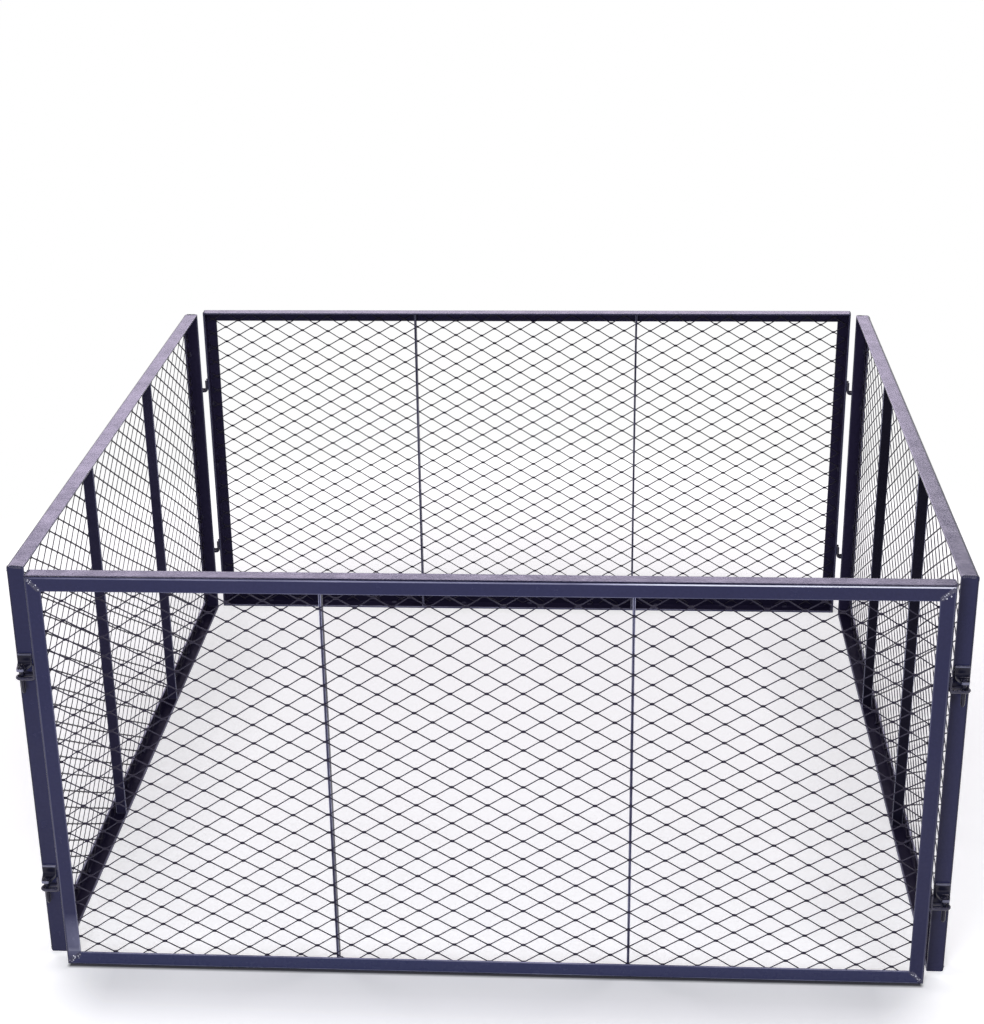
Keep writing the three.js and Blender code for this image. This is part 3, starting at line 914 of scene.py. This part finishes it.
def plate_welds(shape, hand, height, rng):
    """Beads down both edges of a hook plate's flange."""
    x = hand * panel_length / 2
    for y, side in ((plate_inset, -1), (plate_inset + plate_width, 1)):
        start, end = (x, y, height + shelf_top + plate_bend), (x, y, height + plate_top - 1 * mm)
        bead(shape, start, end, (hand, side, 0), plate_bead, rng)


def eye_welds(shape, hand, height, rng):
    """Beads on both sides of an eye's two tails, as far as the post reaches."""
    x = hand * (panel_length / 2 + 0.5 * mm)
    for leg in (-1, 1):
        for side in (-1, 1):
            y = hook_reach + leg * eye_leg_offset + side * 1.6 * mm
            if y <= deep_leg - 0.8 * mm:
                start, end = (x, y, height + 6 * mm), (x, y, height + eye_tail - 2 * mm)
                bead(shape, start, end, (hand, side, 0), eye_bead, rng)


def panel_welds(panel, rng):
    """All weld beads of one panel with the spatter round its mitres, and apart from them the ones in its
    hollows, for the hollows' painted shade.
    """
    shape = Shape()
    hollow = Shape()
    mitre_welds(shape, hollow, rng)
    bar_welds(hollow, panel, rng)
    sheet_tacks(hollow, rng)
    hardware_welds = plate_welds if panel["hooked"] else eye_welds
    for hand in (-1, 1):
        for _, height in levels:
            hardware_welds(shape, hand, height, rng)
    return shape, hollow


# The four panels

def place(piece, node):
    """Puts a piece in its node's stead, on the node's body."""
    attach(piece, body_of[node])
    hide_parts(node)


def add_frame(panel, rng):
    """The four members in quarter turns, each with its length, the middle of its heel, and its marks."""
    left_end, right_end = panel["ends"]
    bare_heel, bare_foot = panel["bare"]
    half, middle = panel_length / 2, panel_height / 2
    members = [
        (f"{left_end}_post", panel_height, (-half, middle), (*post_marks, 0, bare_foot)),
        ("top_rail", panel_length, (0, panel_height), (*top_marks, bare_heel, 0)),
        (f"{right_end}_post", panel_height, (half, middle), (*post_marks, 0, 0)),
        ("bottom_rail", panel_length, (0, 0), (*bottom_marks, 0, 0)),
    ]
    for quarter, (name, length, centre, marks) in enumerate(members):
        node = f"{panel['name']}_{name}"
        shape = Shape()
        shape.add(*frame_member(length, quarter, centre, marks, rng), section_hollow)
        # The hollow sides take painted shade, darkest on the bottom rails, whose outer faces take a lighter,
        # bluer copy of the frame paint
        outside, inside = (lighter_low_rail_paint, low_hollow_shade_paint) if name == "bottom_rail" else (frame_paint, hollow_shade_paint)
        piece = shape.make(f"{node}_angle", panel, outside, "frame_paint", second_material=inside)
        place(piece, node)


def add_bars(panel, rng):
    """Two flat bars behind the mesh."""
    for number in (1, 2):
        node = f"{panel['name']}_bar_{number}"
        shape = Shape()
        shape.add(*flat_bar(node, panel, rng))
        place(shape.make(f"{node}_flat", panel, lit_and_shaded_bar_paints[panel["name"]], "bar_paint"), node)


def add_mesh(panel, rng):
    """One sheet of expanded metal, shaded smooth, since its strands are too thin to show edges."""
    node = f"{panel['name']}_mesh"
    shape = Shape()
    expanded_metal(panel, shape, rng)
    place(shape.make(f"{node}_sheet", panel, mesh_paint, "mesh_paint", smooth_angle=100), node)


def add_hardware(panel):
    """Bored hook plates with their pins, or wire eyes, at both ends and both levels."""
    for end, hand in zip(panel["ends"], (-1, 1)):
        for level, height in levels:
            stem = f"{panel['name']}_{end}_{level}"
            shape = Shape()
            if panel["hooked"]:
                shape.add(*hook_plate(hand, height))
                plate = shape.make(f"{stem}_plate", panel, hardware_paint, "hardware_paint")
                bore(plate, panel, hand, height)
                place(plate, f"{stem}_bracket")
                pin = Shape()
                pin.add(hook_pin(hand, height))
                place(pin.make(f"{stem}_hook_pin", panel, hardware_paint, "hardware_paint"), f"{stem}_pin")
            else:
                shape.add(wire_eye(hand, height))
                place(shape.make(f"{stem}_wire_eye", panel, rod_paint, "hardware_paint"), f"{stem}_eye")


def add_welds(panel, rng):
    """The beads have no node of their own and ride with the panel."""
    name = panel["name"]
    bright, dull_and_shaded = panel_welds(panel, rng)
    body = body_of[f"{name}_top_rail"]
    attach(bright.make(f"{name}_welds", panel, weld_paint, "frame_paint", second_material=bare_metal), body)
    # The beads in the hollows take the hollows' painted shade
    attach(dull_and_shaded.make(f"{name}_hollow_welds", panel, low_hollow_shade_paint, "frame_paint"), body)


for panel in panels:
    rng = np.random.default_rng(seed + panel["turn"])
    add_frame(panel, rng)
    add_bars(panel, rng)
    add_mesh(panel, rng)
    add_hardware(panel)
    add_welds(panel, rng)


# Floor and backdrop: white where they are seen, and dimmer in the light that they throw

floor_reach = 14
paper_colour = (0.74, 0.735, 0.72)
bounce_colour = (0.16, 0.16, 0.16)
contact_shadow_colour = (0.02, 0.02, 0.03)
contact_shadow_share = 0.95
front_shadow_share = 0.3
ceiling_band = (0.40, 0.50)
ceiling_strength = 0.2
fill_strength = 0.05


def seen_directly(tree):
    """1 for rays that see a surface or its mirror image, and 0 for the light that it throws."""
    path = add_node(tree, "ShaderNodeLightPath").outputs
    seen = calculate(tree, "MAXIMUM", path["Is Camera Ray"], path["Is Glossy Ray"])
    return calculate(tree, "MAXIMUM", seen, path["Is Transmission Ray"])


def paper_material():
    """Matt paper that also glows, more so away from the bin."""
    material = empty_material("floor_white")
    tree = material.node_tree
    seen = seen_directly(tree)
    spot = add_node(tree, "ShaderNodeTexCoord").outputs["Object"]
    distance = add_node(tree, "ShaderNodeVectorMath", {0: spot}, operation="LENGTH").outputs["Value"]
    parts = add_node(tree, "ShaderNodeSeparateXYZ", {"Vector": spot}).outputs
    depth = parts["Y"]
    sideways = calculate(tree, "ABSOLUTE", parts["X"])

    # A painted contact shadow darkens the paper along the front rail's foot, where hardly any light gets in
    rail_face = -bin_reach
    rail_end = panel_length / 2
    contact_shadow_front = remap(tree, depth, rail_face - 8 * mm, rail_face - 2 * mm, 0, contact_shadow_share)
    contact_shadow_width = remap(tree, sideways, rail_end - 4 * mm, rail_end + 1 * mm, 1, 0)
    contact_shadow_back = remap(tree, depth, rail_face + 2 * mm, rail_face + 5 * mm, 1, 0)
    contact_shadow = multiply(tree, contact_shadow_front, multiply(tree, contact_shadow_width, contact_shadow_back))

    # Well away from the bin the paper only glows, so the low lamps leave no glare on it
    near = remap(tree, distance, 1.12, 1.32, 1, 0)
    lit_paper = mix_colour(tree, near, opaque((0, 0, 0)), opaque(paper_colour))
    pale = mix_colour(tree, seen, opaque(bounce_colour), lit_paper)
    pale = mix_colour(tree, contact_shadow, pale, opaque(contact_shadow_colour))
    matt = add_node(tree, "ShaderNodeBsdfDiffuse", {"Color": pale})

    # The glow grows outwards to plain white; a painted shadow dims it close in front of the bin, and the
    # painted contact shadow dims it at the front rail's foot
    outward = remap(tree, distance, 0.55, 1.5, 0.42, 1.0)
    within = remap(tree, sideways, 0.44, 0.54, 1, 0)
    before = remap(tree, depth, -0.68, -0.57, 0, 1)
    ahead = multiply(tree, before, remap(tree, depth, -0.53, -0.50, 1, 0))
    front_shadow = remap(tree, multiply(tree, within, ahead), 0, 1, 1, front_shadow_share)
    glow = multiply(tree, outward, multiply(tree, front_shadow, remap(tree, contact_shadow, 0, 1, 1, 0)))
    glow = calculate(tree, "MAXIMUM", glow, remap(tree, distance, 1.0, 1.2, 0, 1))
    strength = multiply(tree, seen, glow)
    shine = add_node(tree, "ShaderNodeEmission", {"Color": opaque((1, 1, 1)), "Strength": strength})
    both = add_node(tree, "ShaderNodeAddShader", {0: matt.outputs[0], 1: shine.outputs[0]})
    add_node(tree, "ShaderNodeOutputMaterial", {"Surface": both.outputs[0]})
    return material


def add_floor():
    mesh = bpy.data.meshes.new("floor")
    signs = ((-1, -1), (1, -1), (1, 1), (-1, 1))
    corners = [(x * floor_reach, y * floor_reach, 0) for x, y in signs]
    mesh.from_pydata(corners, [], [(0, 1, 2, 3)])
    mesh.materials.append(paper_material())
    floor = bpy.data.objects.new("floor", mesh)
    bpy.context.scene.collection.objects.link(floor)


def add_backdrop():
    """White round the bin, under a dark ceiling in reflections, with a dim fill for the rest."""
    world = bpy.data.worlds.new("studio")
    bpy.context.scene.world = world
    world.use_nodes = True
    tree = world.node_tree
    tree.nodes.clear()
    way = add_node(tree, "ShaderNodeTexCoord").outputs["Generated"]
    height = add_node(tree, "ShaderNodeSeparateXYZ", {"Vector": way}).outputs["Z"]
    ceiling = remap(tree, height, *ceiling_band, 1.0, ceiling_strength)
    camera_ray = add_node(tree, "ShaderNodeLightPath").outputs["Is Camera Ray"]
    white = calculate(tree, "MAXIMUM", camera_ray, ceiling)
    strength = calculate(tree, "MAXIMUM", multiply(tree, seen_directly(tree), white), fill_strength)
    background = add_node(tree, "ShaderNodeBackground", {"Color": opaque((1, 1, 1)), "Strength": strength})
    add_node(tree, "ShaderNodeOutputWorld", {"Surface": background.outputs[0]})


add_floor()
add_backdrop()


# Lamps

def area_lamp(name, place, aim, size, brightness, colour, glossy=True):
    """A soft box, whose power follows from the brightness of its face. It can leave out highlights."""
    lamp = bpy.data.lights.new(name, "AREA")
    lamp.shape = "RECTANGLE"
    lamp.size, lamp.size_y = size
    lamp.energy = brightness * math.pi * size[0] * size[1]
    lamp.color = colour
    holder = bpy.data.objects.new(name, lamp)
    holder.location = place
    way = np.asarray(aim, float) - np.asarray(place, float)
    holder.rotation_euler = Vector(way).to_track_quat("-Z", "Y").to_euler()
    holder.visible_camera = False
    holder.visible_glossy = glossy
    bpy.context.scene.collection.objects.link(holder)


# Each lamp's place, the point that it faces, its size, its brightness and its colour
overhead_colour = (1.0, 0.97, 1.02)
front_colour = (0.90, 0.96, 1.10)
side_colour = (0.98, 0.95, 1.02)
area_lamp("overhead_left", (-0.95, 0.1, 2.9), (0, 0.1, 0), (0.6, 0.5), 18.0, overhead_colour)
area_lamp("overhead_right", (0.95, 0.1, 2.9), (0, 0.1, 0), (0.6, 0.5), 18.0, overhead_colour)
area_lamp("key", (-0.4, -2.3, 2.8), (0, -0.2, 0.3), (1.0, 0.7), 4.0, (0.95, 0.95, 1.02))
area_lamp("rear", (-1.15, 8.0, 3.25), (-0.1, 0, 0.5), (6.1, 1.7), 2.3, (1.07, 0.88, 1.27))
area_lamp("rear_upper", (-0.7, 7.9, 4.2), (-0.1, -0.5, 0.5), (7.2, 0.8), 4.2, (1.04, 0.93, 1.17))
area_lamp("front_left", (-0.3, -1.8, 0.6), (-0.2, -0.5, 0.25), (0.6, 0.5), 13.0, front_colour, False)
area_lamp("front_right", (1.1, -1.6, 0.6), (-0.1, -0.4, 0.25), (0.6, 0.5), 5.0, front_colour, False)
area_lamp("side_left", (-1.9, -1.5, 2.4), (0, 0, 0.3), (1.0, 0.7), 4.0, side_colour)
area_lamp("side_right", (1.9, -1.5, 2.4), (0, 0, 0.3), (1.0, 0.7), 4.0, side_colour)

# Camera, fitted to the bin's corners in the photograph
camera_data = bpy.data.cameras.new("camera")
camera_data.sensor_width = 36
camera_data.lens = 70.10
camera_data.shift_x = 0.0219
camera_data.shift_y = 0.0663
camera_data.clip_end = 60
camera = bpy.data.objects.new("camera", camera_data)
camera.location = (0.1285, -2.4736, 1.3494)
camera.rotation_euler = [math.radians(a) for a in (66.521, 0.985, 3.777)]
bpy.context.scene.collection.objects.link(camera)
bpy.context.scene.camera = camera
bpy.context.scene.view_settings.view_transform = "Standard"
